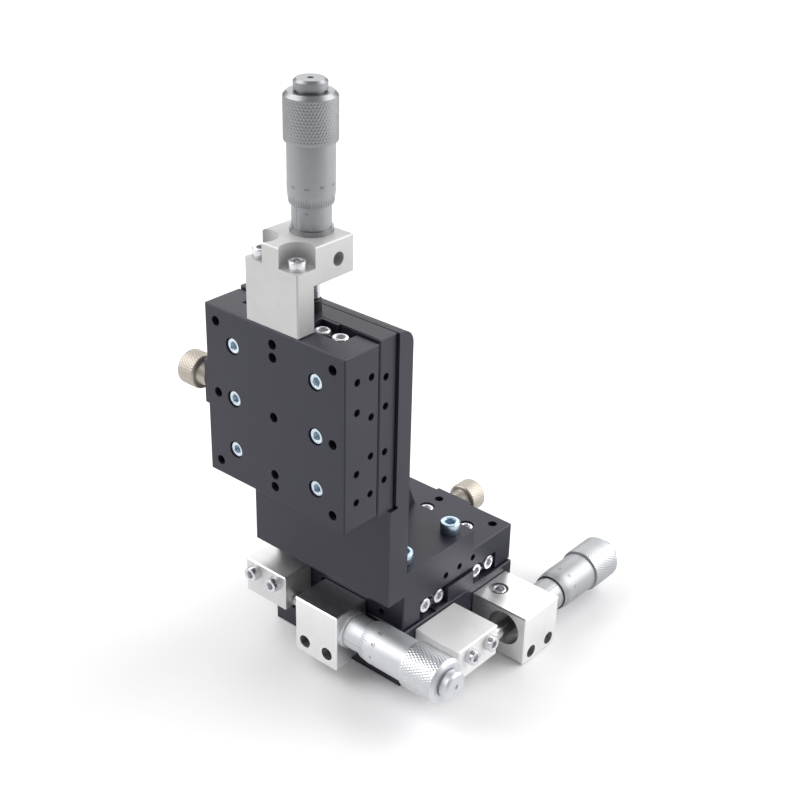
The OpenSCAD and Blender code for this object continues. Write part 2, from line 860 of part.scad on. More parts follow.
module y_base_screws() {
  high = [y_holder_right, y_holder_back, y_holder_lift + y_holder_h];
  dark_shank_len = high[0] - table_side / 2 - dark_screw_sink - small_head_h;
  color(oxide)
    translate([high[0] - dark_screw_sink - small_head_h, y_holder_mid, y_holder_lift + y_screw_rise])
    from_right() both_y(holder_screw_half)
      cap_screw(dark_head_d, small_head_h, dark_shank_d, dark_shank_len);
  color(steel) translate([y_side_x + clamp_out, y_holder_front + clamp_back, high[2] - small_head_h])
    cap_screw(small_head_d, small_head_h - table_screw_sink, small_d, y_holder_h / 2 - small_head_h);
  color(steel) y_frame() rail_end_screws(y_rail_len, base_rail_y, guide_z);
  color(steel) y_frame() lock_plate_screws();
}

// Middle plate: the table of the Y stage and the base of the X stage in one piece

module middle_plate() {
  color(black) difference() {
    union() {
      block_between(
        [-base_len / 2, -table_side / 2, middle_low],
        [base_len / 2, table_side / 2, middle_top],
        edge_c
      );
      x_frame() base_rib(base_len);
    }
    y_frame() {
      channel(table_side);
      preload_holes();
      rail_screw_holes(middle_screw_xs);
    }
    x_frame() side_holes(base_side_xs, base_side_z, [-1, 1]);
  }
  color(black) y_frame() table_pin();
}

module y_push_block() {
  low = [y_side_x, y_push_back - y_push_len, y_push_low];
  high = [y_side_x + y_push_w, y_push_back, y_push_low + y_push_h];
  color(alloy) difference() {
    block_between(low, high, edge_c);
    translate([high[0], y_push_mid, low[2] + y_push_screw_rise]) from_right() both_y(push_screw_half)
      hole(small_d + 2 * screw_gap, y_push_w + over);
  }
}

module x_holder() {
  left = x_holder_left;
  back = -table_side / 2;
  low = [left, back - x_holder_depth, middle_low];
  high = [left + holder_len, back, middle_low + x_holder_h];
  color(alloy) difference() {
    block_between([low[0], low[1], low[2] - x_lip_h], high, edge_c);
    translate([left - over, x_lip_back, low[2] - x_lip_h - over])
      cube([holder_len + 2 * over, back - x_lip_back + over, x_lip_h + over]);
    translate([left - over, back - pass_gap, middle_top + stage_gap / 2])
      cube([holder_len + 2 * over, pass_gap + over, x_holder_h]);
    x_micrometer_frame() translate([0, 0, -holder_len - over])
      cylinder(d = stem_d, h = holder_len + 2 * over);
    x_micrometer_frame() translate([0, 0, -holder_len - over])
      cylinder(d = x_counterbore_d, h = counterbore_len + over);
    translate([x_holder_mid, low[1], low[2] + x_screw_rise]) from_front() {
      both_x(holder_screw_half) hole(dark_hole_d, dark_screw_sink + small_head_h);
      both_x(holder_screw_half) hole(dark_shank_d + 2 * screw_gap, x_holder_depth + over);
    }
  }
}

module x_barrel() {
  x_micrometer_frame() barrel(holder_len - counterbore_len);
}

module middle_screws() {
  front = -table_side / 2 - x_holder_depth;
  color(steel) translate([y_side_x + y_push_w, y_push_mid, y_push_low + y_push_screw_rise]) from_right()
    both_y(push_screw_half) cap_screw(small_head_d, small_head_h, small_d, y_push_w);
  color(oxide) translate([x_holder_mid, front + dark_screw_sink + small_head_h, middle_low + x_screw_rise])
    from_front() both_x(holder_screw_half)
      cap_screw(dark_head_d, small_head_h, dark_shank_d, x_holder_depth - dark_screw_sink - small_head_h);
  color(steel) y_frame() rail_screws(middle_screw_xs);
  color(steel) y_frame() rail_end_screws(y_rail_len, table_rail_y, guide_z);
  color(steel) x_frame() rail_end_screws(rail_len, base_rail_y, guide_z);
  color(steel) x_frame() lock_plate_screws();
}

// X table and what it carries

module x_table() {
  color(black) x_frame() stage_table([-1, 1]);
}

module x_push_block() {
  back = -table_side / 2;
  low = [x_push_right - x_push_len, back - x_push_depth, x_push_low];
  high = [x_push_right, back, x_push_low + x_push_h];
  color(alloy) difference() {
    block_between(low, high, edge_c);
    translate([low[0] - over, back - pass_gap, low[2] - over])
      cube([x_push_len + 2 * over, pass_gap + over, x_table_low - low[2] + over - stage_gap / 2]);
    translate([x_push_mid, low[1], low[2] + x_push_screw_rise]) from_front() both_x(push_screw_half)
      hole(small_d + 2 * screw_gap, x_push_depth + over);
  }
}

module x_table_screws() {
  color(steel) x_frame() rail_screws(table_screw_xs);
  color(steel) translate([x_push_mid, -table_side / 2 - x_push_depth, x_push_low + x_push_screw_rise])
    from_front() both_x(push_screw_half) cap_screw(small_head_d, small_head_h, small_d, x_push_depth);
}

// The screws in a table that hold its rails
module rail_screws(xs) {
  for (x = xs) {
    both_y(table_rail_y) translate([x, 0, -small_head_h - table_screw_sink])
      cap_screw(small_head_d, small_head_h, small_d, web_t - small_head_h - table_screw_sink + rail_thread_len);
  }
}

module x_rail_end_screws() {
  color(steel) x_frame() rail_end_screws(rail_len, table_rail_y, guide_z);
  color(steel) z_frame() rail_end_screws(rail_len, base_rail_y, guide_z);
  color(steel) z_frame() lock_plate_screws();
}

// Places of the four screws in the bracket's foot
module foot_screw_places() {
  for (y = [0, -hole_span / 2]) both_x(hole_span / 2) translate([0, y, x_table_top + foot_t]) children();
}

module bracket() {
  foot_back = foot_reach;
  front = z_base_back_y - ledge_d;
  low = x_table_top;
  r = upright_r;
  arc_n = 8;
  arc = [for (i = [0 : arc_n])
    let (a = 90 * i / arc_n) [upright_back_y - r + r * cos(a), bracket_top - r + r * sin(a)]];
  color(black) difference() {
    union() {
      rotate([90, 0, 90]) linear_extrude(bracket_w, center = true) polygon(concat(
        [
          [front, low],
          [foot_back, low],
          [foot_back, low + foot_t],
          [upright_back_y, low + foot_t]
        ],
        arc,
        [
          [z_base_back_y, bracket_top],
          [z_base_back_y, ledge_z + relief_w],
          [z_base_back_y + relief_d, ledge_z + relief_w],
          [z_base_back_y + relief_d, ledge_z],
          [front, ledge_z]
        ]
      ));
      rotate([90, 0, 90]) linear_extrude(gusset_t, center = true) polygon([
        [upright_back_y - over, low + foot_t - over],
        [foot_back, low + foot_t - over],
        [foot_back, low + foot_t],
        [upright_back_y, bracket_top - r - gusset_drop],
        [upright_back_y - over, bracket_top - r - gusset_drop]
      ]);
    }
    foot_screw_places() hole(foot_shank_d + 4 * screw_gap, foot_t + over);
  }
}

foot_shank_d = tap_d - screw_gap;

module bracket_screws() {
  color(steel) foot_screw_places()
    cap_screw(foot_head_d, foot_head_h, foot_shank_d, foot_t + tap_depth - over);
}

module z_base_plate() {
  color(black) z_frame() difference() {
    union() {
      base_plate_block(base_len);
      base_rib(base_len);
    }
    side_holes(base_side_xs, base_side_z, [-1, 1]);
  }
}

module z_anvil() {
  tip_c = 0.4;
  color(oxide) translate([0, z_face_y + z_spindle_back, z_centre_z + base_len / 2]) rotate_extrude() polygon([
    [0, 0],
    [anvil_d / 2, 0],
    [anvil_d / 2, anvil_h - tip_c],
    [anvil_d / 2 - tip_c, anvil_h],
    [0, anvil_h]
  ]);
}

// Z table and what it carries

module z_table() {
  color(black) z_frame() difference() {
    stage_table([-1]);
    both_y(z_screw_x) translate([table_side / 2, 0, table_end_z]) from_right()
      hole(small_d + 2 * screw_gap, z_thread_len + over);
  }
}

z_thread_len = 6;

module z_holder() {
  half = z_holder_half;
  front = z_face_y;
  back = front + z_holder_depth;
  c = edge_c;
  pocket_floor = z_holder_top - pocket_d;
  color(alloy) difference() {
    union() {
      block_between([-half, front, z_arm_low], [half, back, z_holder_top], c);
      block_between([-half, front, z_holder_low], [half, front + z_leg_t, z_holder_top], c);
    }
    z_micrometer_frame() translate([0, 0, -z_arm_h - over]) cylinder(d = stem_d, h = z_arm_h + 2 * over);
    both_x(z_screw_x) translate([0, front + pocket_y, z_holder_top]) {
      hole(2 * pocket_r, pocket_d);
      hole(small_d + 2 * screw_gap, z_holder_h + over);
    }
    // The pockets are open at the corners
    for (s = [0, 1]) mirror([s, 0, 0]) translate([z_screw_x, front - over, pocket_floor])
      cube([half, pocket_y + over, pocket_d + over]);
    translate([half, front + z_spindle_back, z_arm_low + set_screw_rise]) from_right()
      hole(set_screw_d, set_screw_depth);
  }
}

module z_barrel() {
  z_micrometer_frame() barrel(z_arm_h);
}

module z_table_screws() {
  color(steel) z_frame() rail_screws(table_screw_xs);
}

module z_holder_screws() {
  color(steel) both_x(z_screw_x) translate([0, z_face_y + pocket_y, z_holder_top - pocket_d])
    cap_screw(small_head_d, small_head_h, small_d, z_holder_h - pocket_d + z_thread_len);
}

module z_rail_end_screws() {
  color(steel) z_frame() rail_end_screws(rail_len, table_rail_y, guide_z);
}

y_base_plate();
y_frame() base_rail(y_rail_len, -1);  // y_base_rail_left
y_frame() base_rail(y_rail_len, 1);  // y_base_rail_right
y_holder();
y_barrel();
y_frame() lock_plate();  // y_lock_plate
y_base_screws();
y_frame() cage(-1);  // y_cage_left
y_frame() cage(1);  // y_cage_right
y_frame() spring();  // y_spring
y_frame() lock_knob(base_len / 2);  // y_lock_knob
y_micrometer_frame() thimble();  // y_thimble
y_micrometer_frame() spindle(y_reach);  // y_spindle
y_micrometer_frame() end_cap();  // y_cap
middle_plate();
y_frame() table_rail(y_rail_len, -1, middle_screw_xs);  // y_table_rail_left
y_frame() table_rail(y_rail_len, 1, middle_screw_xs);  // y_table_rail_right
x_frame() base_rail(rail_len, -1);  // x_base_rail_left
x_frame() base_rail(rail_len, 1);  // x_base_rail_right
y_push_block();
x_holder();
x_barrel();
x_frame() lock_plate();  // x_lock_plate
middle_screws();
x_frame() cage(-1);  // x_cage_left
x_frame() cage(1);  // x_cage_right
x_frame() spring();  // x_spring
x_frame() lock_knob(table_side / 2);  // x_lock_knob
x_micrometer_frame() thimble();  // x_thimble
x_micrometer_frame() spindle(x_reach);  // x_spindle
x_micrometer_frame() end_cap();  // x_cap
x_table();
x_frame() table_rail(rail_len, -1, table_screw_xs);  // x_table_rail_left
x_frame() table_rail(rail_len, 1, table_screw_xs);  // x_table_rail_right
x_push_block();
bracket();
bracket_screws();
z_base_plate();
z_frame() base_rail(rail_len, -1);  // z_base_rail_left
z_frame() base_rail(rail_len, 1);  // z_base_rail_right
z_anvil();
z_frame() lock_plate();  // z_lock_plate
x_table_screws();
x_rail_end_screws();
z_frame() cage(-1);  // z_cage_left
z_frame() cage(1);  // z_cage_right
z_frame() spring();  // z_spring
z_frame() lock_knob(table_side / 2);  // z_lock_knob
z_micrometer_frame() thimble();  // z_thimble
z_micrometer_frame() spindle(z_reach_down);  // z_spindle
z_micrometer_frame() end_cap();  // z_cap
z_table();
z_frame() table_rail(rail_len, -1, table_screw_xs);  // z_table_rail_left
z_frame() table_rail(rail_len, 1, table_screw_xs);  // z_table_rail_right
z_holder();
z_barrel();
z_table_screws();
z_holder_screws();
z_rail_end_screws();
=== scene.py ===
"""Looks of the three-axis linear stage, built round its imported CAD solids.

Sizes are in millimetres up to where a piece is added. The scene, its floor and its lights are in metres.
"""

import bpy
import math
import random
from mathutils import Matrix, Vector


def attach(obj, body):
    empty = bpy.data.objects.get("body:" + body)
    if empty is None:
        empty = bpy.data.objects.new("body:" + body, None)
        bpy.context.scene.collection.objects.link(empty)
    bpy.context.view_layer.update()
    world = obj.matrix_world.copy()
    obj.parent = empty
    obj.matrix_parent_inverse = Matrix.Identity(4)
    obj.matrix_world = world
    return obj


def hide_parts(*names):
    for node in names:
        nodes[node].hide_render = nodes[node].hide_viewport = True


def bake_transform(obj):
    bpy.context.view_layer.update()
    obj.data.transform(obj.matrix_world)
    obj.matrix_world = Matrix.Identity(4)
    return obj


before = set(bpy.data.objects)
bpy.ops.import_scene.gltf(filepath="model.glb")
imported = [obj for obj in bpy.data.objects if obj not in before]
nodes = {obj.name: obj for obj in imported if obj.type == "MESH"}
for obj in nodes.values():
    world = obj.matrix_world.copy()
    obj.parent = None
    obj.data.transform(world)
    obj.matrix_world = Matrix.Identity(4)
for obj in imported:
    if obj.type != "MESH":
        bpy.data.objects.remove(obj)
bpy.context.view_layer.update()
random.seed(7)

MM = 0.001


# The camera of the photograph

CAMERA_AT = Vector((276.09, -325.37, 315.37)) * MM
CAMERA_RIGHT = Vector((0.75571, 0.65453, 0.02199))
CAMERA_DOWN = Vector((0.32092, -0.34084, -0.88365))
CAMERA_FORWARD = Vector((-0.57088, 0.67485, -0.46763))
SENSOR_WIDTH = 36
IMAGE_SIDE = 800
FOCAL_PIXELS = 1405.5
NEAREST_SEEN = 0.01


def place_camera():
    data = bpy.data.cameras.new("camera")
    camera = bpy.data.objects.new("camera", data)
    bpy.context.scene.collection.objects.link(camera)
    turn = Matrix((CAMERA_RIGHT, -CAMERA_DOWN, -CAMERA_FORWARD)).transposed().to_4x4()
    camera.matrix_world = Matrix.Translation(CAMERA_AT) @ turn
    data.sensor_fit = "HORIZONTAL"
    data.sensor_width = SENSOR_WIDTH
    data.lens = FOCAL_PIXELS * SENSOR_WIDTH / IMAGE_SIDE
    data.clip_start = NEAREST_SEEN
    bpy.context.scene.camera = camera


place_camera()


# Sizes of the solids, in millimetres

TABLE_SIDE = 60
BASE_LEN = 62
TABLE_T = 15
PLATE_T = 7.7
STAGE_GAP = 0.3
X_TABLE_TOP = PLATE_T + 2 * STAGE_GAP + 2 * TABLE_T
MIDDLE_TOP = PLATE_T + STAGE_GAP + TABLE_T
MIDDLE_LOW = PLATE_T + STAGE_GAP
Z_FACE_Y = -59.3
Z_CENTRE_H = 68
Z_CENTRE = X_TABLE_TOP + Z_CENTRE_H
FOOT_T = 9

RAIL_LEN = 56
Y_RAIL_LEN = 43
BASE_RAIL_Y = 10.4
TABLE_RAIL_Y = 17.8
GUIDE_Z = -11.1
RAIL_SCREW_X = 18.5
Y_RAIL_SCREW_X = 13
TABLE_SCREW_SINK = 0.5
WEB_T = 7.7
RAIL_THREAD = 3
BASE_SIDE_Z = -18.1

SMALL_D = 3
SMALL_HEAD_D = 5.4
SMALL_HEAD_H = 3
END_HEAD_D = 5.4
END_HEAD_H = 1.7
END_SHANK_D = 2
END_SHANK_LEN = 3.5
FOOT_HEAD_D = 7
FOOT_HEAD_H = 4
FOOT_SHANK_D = 3.2
FOOT_THREAD = 5
DARK_HEAD_D = 4.6
DARK_SHANK_D = 2.5
DARK_SINK = 2.4
HOLE_HALF = 25

HOLDER_LEN = 19.5
X_HOLDER_LEFT = -6
X_HOLDER_MID = X_HOLDER_LEFT + HOLDER_LEN / 2
X_HOLDER_DEPTH = 15.3
X_SPINDLE_Y = -37.6
X_SPINDLE_Z = 20.3
X_SPINDLE = (X_HOLDER_LEFT + HOLDER_LEN, X_SPINDLE_Y, X_SPINDLE_Z)
X_SCREW_RISE = 3.4
Y_HOLDER_FRONT = 7
Y_HOLDER_MID = Y_HOLDER_FRONT + HOLDER_LEN / 2
Y_HOLDER_W = 24.9
Y_HOLDER_H = 19.5
Y_HOLDER_LIFT = 0.5
Y_SPINDLE_X = 45.5
Y_SPINDLE_Z = 12.2
Y_SPINDLE = (Y_SPINDLE_X, Y_HOLDER_FRONT + HOLDER_LEN, Y_SPINDLE_Z)
Y_SCREW_RISE = 3.7
HOLDER_SCREW_HALF = 5.2
CLAMP_OUT = 6.2
CLAMP_BACK = 8.9
X_PUSH_LEN = 19.5
Y_PUSH_LEN = 21.2
X_PUSH_GAP = 6.8
Y_PUSH_GAP = 10.5
X_PUSH_MID = X_HOLDER_LEFT - X_PUSH_GAP - X_PUSH_LEN / 2
X_PUSH_DEPTH = 13.3
X_PUSH_SCREW_Z = 27.4
Y_PUSH_MID = Y_HOLDER_FRONT - Y_PUSH_GAP - Y_PUSH_LEN / 2
Y_PUSH_W = 19.5
Y_PUSH_SCREW_Z = 17.9
PUSH_SCREW_HALF = 5
Z_HOLDER_H = 27
Z_HOLDER_TOP = Z_CENTRE + TABLE_SIDE / 2 + Z_HOLDER_H
Z_SPINDLE_BACK = 17.5
Z_SPINDLE = (0, Z_FACE_Y + Z_SPINDLE_BACK, Z_HOLDER_TOP)
Z_SCREW_X = 7.5
POCKET_Y = 3.6
POCKET_D = 6.5
Z_THREAD = 6

BARREL_R = 6.1
FLANGE_T = 1.5
THIMBLE_START = 9
THIMBLE_TAPER = 3.6
THIMBLE_R = 7.3
THIMBLE_EDGE = 0.3
THIMBLE_GAP = 0.35
SLEEVE_LEN = 18.8
THIMBLE_BODY = THIMBLE_START + SLEEVE_LEN
GRIP_R = 8.2
GRIP_LEN = 13.4
GRIP_END = THIMBLE_BODY + GRIP_LEN
GRIP_BEVEL = 1.2
THIMBLE_END = GRIP_END + GRIP_BEVEL
BORE_END = 36.1
SPINDLE_BORE_R = 2.6
THREAD_PITCH = 0.5

KNOB_R = 6
KNOB_LEN = 7.5
KNOB_NECK_R = 4
KNOB_NECK_LEN = 3.7
LOCK_PLATE_T = 4.5
LOCK_DEPTH = 6.7
LOCK_SCREW_R = 2
PASS_GAP = 0.3
LOCK_SCREW_HALF = 4.5
COUNTERSINK_D = 5.6
COUNTERSINK_H = 1.6
SCREW_GAP = 0.1

SPRING_R = 1.7
SPRING_WIRE_R = 0.25
SPRING_TURNS = 14
SPRING_HALF = 11.9
HOOK_LEN = 1.6
SPRING_Z = -11.7
PIN_R = 0.8


# Frames of the stages and of the micrometer heads, in millimetres

def turned(degrees, axis):
    return Matrix.Rotation(math.radians(degrees), 4, axis)


X_FRAME = Matrix.Translation((0, 0, X_TABLE_TOP))
Y_FRAME = Matrix.Translation((0, 0, MIDDLE_TOP)) @ turned(90, "Z")
Z_FRAME = Matrix.Translation((0, Z_FACE_Y, Z_CENTRE)) @ turned(-90, "Y") @ turned(90, "X")
X_MICROMETER = Matrix.Translation(X_SPINDLE) @ turned(90, "Y")
Y_MICROMETER = Matrix.Translation(Y_SPINDLE) @ turned(-90, "X")
Z_MICROMETER = Matrix.Translation(Z_SPINDLE)
TO_FRONT = turned(90, "X")
TO_RIGHT = turned(90, "Y")
TO_BACK = turned(-90, "X")


def at(x, y, z):
    return Matrix.Translation((x, y, z))


# Materials

def new_material(name):
    material = bpy.data.materials.new(name)
    material.use_nodes = True
    tree = material.node_tree
    shader = tree.nodes["Principled BSDF"]
    return material, tree, shader


def object_coordinates(tree, scale):
    """Coordinates fixed to the piece, stretched by a scale for each axis."""
    source = tree.nodes.new("ShaderNodeTexCoord")
    mapping = tree.nodes.new("ShaderNodeMapping")
    mapping.inputs["Scale"].default_value = scale
    tree.links.new(source.outputs["Object"], mapping.inputs["Vector"])
    return mapping.outputs["Vector"]


def noise(tree, vector, scale, detail=3.0, roughness=0.55):
    """Cloudy noise, whose value is mostly between 0.3 and 0.7."""
    node = tree.nodes.new("ShaderNodeTexNoise")
    node.inputs["Scale"].default_value = scale
    node.inputs["Detail"].default_value = detail
    node.inputs["Roughness"].default_value = roughness
    tree.links.new(vector, node.inputs["Vector"])
    return node.outputs["Fac"]


def ranged(tree, value, low, high, from_low=0.3, from_high=0.7):
    """The value, spread from its usual range to one between low and high."""
    node = tree.nodes.new("ShaderNodeMapRange")
    node.inputs["From Min"].default_value = from_low
    node.inputs["From Max"].default_value = from_high
    node.inputs["To Min"].default_value = low
    node.inputs["To Max"].default_value = high
    tree.links.new(value, node.inputs["Value"])
    return node.outputs["Result"]


def colours(tree, value, stops):
    """A colour ramp through (place, colour) stops."""
    node = tree.nodes.new("ShaderNodeValToRGB")
    ramp = node.color_ramp
    while len(ramp.elements) < len(stops):
        ramp.elements.new(0.5)
    for element, (place, colour) in zip(ramp.elements, stops):
        element.position = place
        element.color = (*colour, 1)
    tree.links.new(value, node.inputs["Fac"])
    return node.outputs["Color"]


def bump(tree, shader, height, distance, strength=1.0, under=None):
    """Relief as deep as distance in metres, on top of the relief under it."""
    node = tree.nodes.new("ShaderNodeBump")
    node.inputs["Strength"].default_value = strength
    node.inputs["Distance"].default_value = distance
    tree.links.new(height, node.inputs["Height"])
    if under:
        tree.links.new(under, node.inputs["Normal"])
    tree.links.new(node.outputs["Normal"], shader.inputs["Normal"])
    return node.outputs["Normal"]


def shade(colour, factor):
    return tuple(min(1, c * factor) for c in colour)


def patches(tree, cloud, colour, places, darker, lighter):
    """The colour with faint cloudy patches, darker and lighter by these factors."""
    dark, middle, light = places
    stops = [(dark, shade(colour, darker)), (middle, colour), (light, shade(colour, lighter))]
    return colours(tree, cloud, stops)


UNSTRETCHED = (1, 1, 1)

# Scales of the noise, in cycles for each metre
BLASTED_CLOUD = 55
MILLED_CLOUD = 70
MARKS_ALONG = 40
MARKS_ACROSS = 2600
PLATE_GRAIN = 4200
FINE_GRAIN = 5200
FINEST_GRAIN = 6500

# Where in the noise the patches are darkest, plain and lightest, and how dark and light they are
BLASTED_STOPS = (0.25, 0.5, 0.8)
MILLED_STOPS = (0.3, 0.5, 0.75)
MILLED_DARKER = 0.94
MILLED_LIGHTER = 1.04

# How far the grain of blasted metal changes its roughness, down and up, and how strong tool marks are
SMOOTHER = 0.06
ROUGHER = 0.08
MARK_STRENGTH = 0.8


def blasted_metal(name, colour, metallic, roughness, grain, depth, spread=0.12):
    """Finely blasted metal: an even grain with cloudy patches; spread is how far they differ in shade."""
    material, tree, shader = new_material(name)
    flat = object_coordinates(tree, UNSTRETCHED)
    cloud = noise(tree, flat, scale=BLASTED_CLOUD, detail=4)
    fine = noise(tree, flat, scale=grain, detail=2, roughness=0.7)
    patchy = patches(tree, cloud, colour, BLASTED_STOPS, 1 - spread, 1 + spread)
    tree.links.new(patchy, shader.inputs["Base Color"])
    uneven = ranged(tree, fine, roughness - SMOOTHER, roughness + ROUGHER)
    tree.links.new(uneven, shader.inputs["Roughness"])
    shader.inputs["Metallic"].default_value = metallic
    bump(tree, shader, fine, depth)
    return material


def milled_metal(name, colour, metallic, roughness, axis, depth, spread=0.07):
    """Metal with fine parallel tool marks across one axis; spread is how far they change its roughness."""
    material, tree, shader = new_material(name)
    stretch = [MARKS_ALONG] * 3
    stretch[axis] = MARKS_ACROSS
    marks = noise(tree, object_coordinates(tree, stretch), scale=1, detail=2)
    flat = object_coordinates(tree, UNSTRETCHED)
    cloud = noise(tree, flat, scale=MILLED_CLOUD, detail=4)
    grain = noise(tree, flat, scale=FINE_GRAIN, detail=2)
    patchy = patches(tree, cloud, colour, MILLED_STOPS, MILLED_DARKER, MILLED_LIGHTER)
    tree.links.new(patchy, shader.inputs["Base Color"])
    tree.links.new(ranged(tree, marks, roughness - spread, roughness + spread), shader.inputs["Roughness"])
    shader.inputs["Metallic"].default_value = metallic
    first = bump(tree, shader, grain, depth)
    bump(tree, shader, marks, depth, strength=MARK_STRENGTH, under=first)
    return material


BLACK = (0.0175, 0.0168, 0.031)
CLEAR = (0.90, 0.89, 0.89)
CHROME = (0.50, 0.51, 0.53)
STEEL = (0.56, 0.56, 0.58)
ZINC = (0.70, 0.70, 0.73)
BLUE_ZINC = (0.46, 0.58, 0.68)
PALE_ZINC = (0.60, 0.69, 0.76)
NICKEL = (0.46, 0.42, 0.37)
BRASS = (0.66, 0.48, 0.22)
OXIDE = (0.006, 0.007, 0.008)
INK = (0.10, 0.10, 0.11)

# How bright the same finish is on some pieces, and how rough the heads are, in the order x, y, z. On the z
# holder, the x push block and the micrometer heads the change in brightness is painted light and shade, for
# how light falls on them
DULL_PAINTED_SHADE = 0.62
SOFT_PAINTED_SHADE = 0.80
WIRE_SHARE = 0.8
CHROME_LIGHT_AND_SHADE = (1.36, 0.84, 0.60)
CHROME_ROUGHNESS = (0.52, 0.50, 0.38)

# How metallic bright metals are, and how deep in metres and how uneven the turned rings of chrome are
BRIGHT = 0.95
RING_DEPTH = 0.0000007
RING_SPREAD = 0.03


def clear_metal(name, share, metallic, roughness):
    """Clear anodised aluminium with fine marks across y; a share below 1 darkens it, as painted shade."""
    colour = shade(CLEAR, share)
    return milled_metal(name, colour, metallic, roughness, axis=1, depth=0.000002, spread=0.04)


def plated_metal(name, colour, roughness):
    return blasted_metal(name, colour, metallic=0.9, roughness=roughness, grain=PLATE_GRAIN, depth=0.000004)


def knurled_chrome(letter, share):
    # share makes the knurl lighter or darker, as painted light and shade for each head
    colour = shade(CHROME, share)
    name = f"knurl_chrome_{letter}"
    return blasted_metal(name, colour, BRIGHT, roughness=0.34, grain=FINEST_GRAIN, depth=0.000004)


def smooth_chrome(letter, axis, share, roughness):
    """Chrome with faint turned rings across the axis of its head; share makes it lighter or darker, as
    painted light and shade for each head.
    """
    colour = shade(CHROME, share)
    name = f"turned_chrome_{letter}"
    return milled_metal(name, colour, BRIGHT, roughness, axis, depth=RING_DEPTH, spread=RING_SPREAD)


def bright_steel(name, share, roughness, axis, depth):
    return milled_metal(name, shade(STEEL, share), BRIGHT, roughness, axis, depth)


black_anodised = blasted_metal(
    "black_anodised", BLACK, metallic=0.15, roughness=0.44, grain=FINE_GRAIN, depth=0.000007, spread=0.10
)
clear_anodised = clear_metal("clear_anodised", share=1, metallic=1.0, roughness=0.32)
# The x push block's clear anodising is darkened as painted shade, and made rougher and less metallic
soft_shaded_clear = clear_metal("soft_shaded_clear", share=SOFT_PAINTED_SHADE, metallic=0.85, roughness=0.42)
satin_clear = clear_metal("satin_clear", share=1, metallic=0.3, roughness=0.5)
# The z holder's clear anodising is darkened as painted shade, and made rougher and less metallic
dull_shaded_clear = clear_metal("dull_shaded_clear", share=DULL_PAINTED_SHADE, metallic=0.45, roughness=0.5)
# The chrome of the heads is made lighter on the x head and darker on the y and z heads, as painted light
# and shade
knurl_chrome = [knurled_chrome(letter, share) for letter, share in zip("xyz", CHROME_LIGHT_AND_SHADE)]
turned_chrome = [
    smooth_chrome(letter, axis, share, rough)
    for axis, (letter, share, rough) in enumerate(zip("xyz", CHROME_LIGHT_AND_SHADE, CHROME_ROUGHNESS))
]
ground_steel = bright_steel("ground_steel", share=1, roughness=0.24, axis=2, depth=0.000002)
rail_steel = bright_steel("rail_steel", share=1, roughness=0.30, axis=0, depth=0.000003)
zinc = plated_metal("zinc_plate", ZINC, roughness=0.25)
pale_zinc = plated_metal("pale_zinc_plate", PALE_ZINC, roughness=0.25)
blue_zinc = plated_metal("blue_zinc_plate", BLUE_ZINC, roughness=0.27)
nickel = blasted_metal(
    "nickel_plate", NICKEL, metallic=0.75, roughness=0.36, grain=FINE_GRAIN, depth=0.000005
)
spring_wire = bright_steel("spring_wire", share=WIRE_SHARE, roughness=0.3, axis=0, depth=0.000002)
cage_brass = plated_metal("cage_brass", BRASS, roughness=0.33)
black_oxide = blasted_metal(
    "black_oxide", OXIDE, metallic=0.1, roughness=0.5, grain=PLATE_GRAIN, depth=0.000005
)
ink = blasted_metal(
    "graduation_ink", INK, metallic=0.0, roughness=0.6, grain=FINEST_GRAIN, depth=0.000002
)


def finish_of(name):
    """The material that a CAD node takes."""
    axis = "xyz".find(name[0])
    if "screws" in name:
        return zinc
    if "spring" in name:
        return spring_wire
    if "cage" in name:
        return cage_brass
    if "rail" in name:
        return rail_steel
    if "spindle" in name:
        return ground_steel
    if name.endswith(("barrel", "cap", "thimble")):
        return turned_chrome[axis]
    if name.endswith("anvil"):
        return black_oxide
    if name.endswith("lock_knob"):
        return nickel
    # The z holder takes clear anodising darkened by painted shade
    if name == "z_holder":
        return dull_shaded_clear
    if name == "y_push_block":
        return satin_clear
    # The x push block takes clear anodising darkened by painted shade
    if name == "x_push_block":
        return soft_shaded_clear
    if name.endswith("holder"):
        return clear_anodised
    return black_anodised


for name, node in nodes.items():
    node.data.materials.clear()
    node.data.materials.append(finish_of(name))


# Pieces made of rings of points

def add_piece(name, points, faces, place, material, smooth_angle=40):
    """A mesh piece whose points are in millimetres in the frame that place gives."""
    mesh = bpy.data.meshes.new(name)
    moved = [(place @ Vector(p)) * MM for p in points]
    mesh.from_pydata([tuple(p) for p in moved], [], faces)
    mesh.update()
    piece = bpy.data.objects.new(name, mesh)
    bpy.context.scene.collection.objects.link(piece)
    mesh.materials.append(material)
    mesh.polygons.foreach_set("use_smooth", [True] * len(mesh.polygons))
    mesh.set_sharp_from_angle(angle=math.radians(smooth_angle))
    return piece


def ring_faces(rings, around, first=0):
    """Quads between neighbouring rings of points."""
    faces = []
    for i in range(rings - 1):
        for k in range(around):
            a = first + i * around + k
            b = first + i * around + (k + 1) % around
            faces.append((a, b, b + around, a + around))
    return faces


def lathe(outline, around, shape=None):
    """Points and faces of a turned body. shape(angle, r, z) may move a point in or out."""
    points = []
    for r, z in outline:
        for k in range(around):
            angle = 2 * math.pi * k / around
            s = shape(angle, r, z) if shape else r
            points.append((s * math.cos(angle), s * math.sin(angle), z))
    return points, ring_faces(len(outline), around)


def closed(points, faces, around):
    """Closes the first and last ring of a turned body."""
    last = len(points) - around
    faces = faces + [tuple(reversed(range(around)))]
    faces.append(tuple(range(last, last + around)))
    return points, faces


# Socket head screws

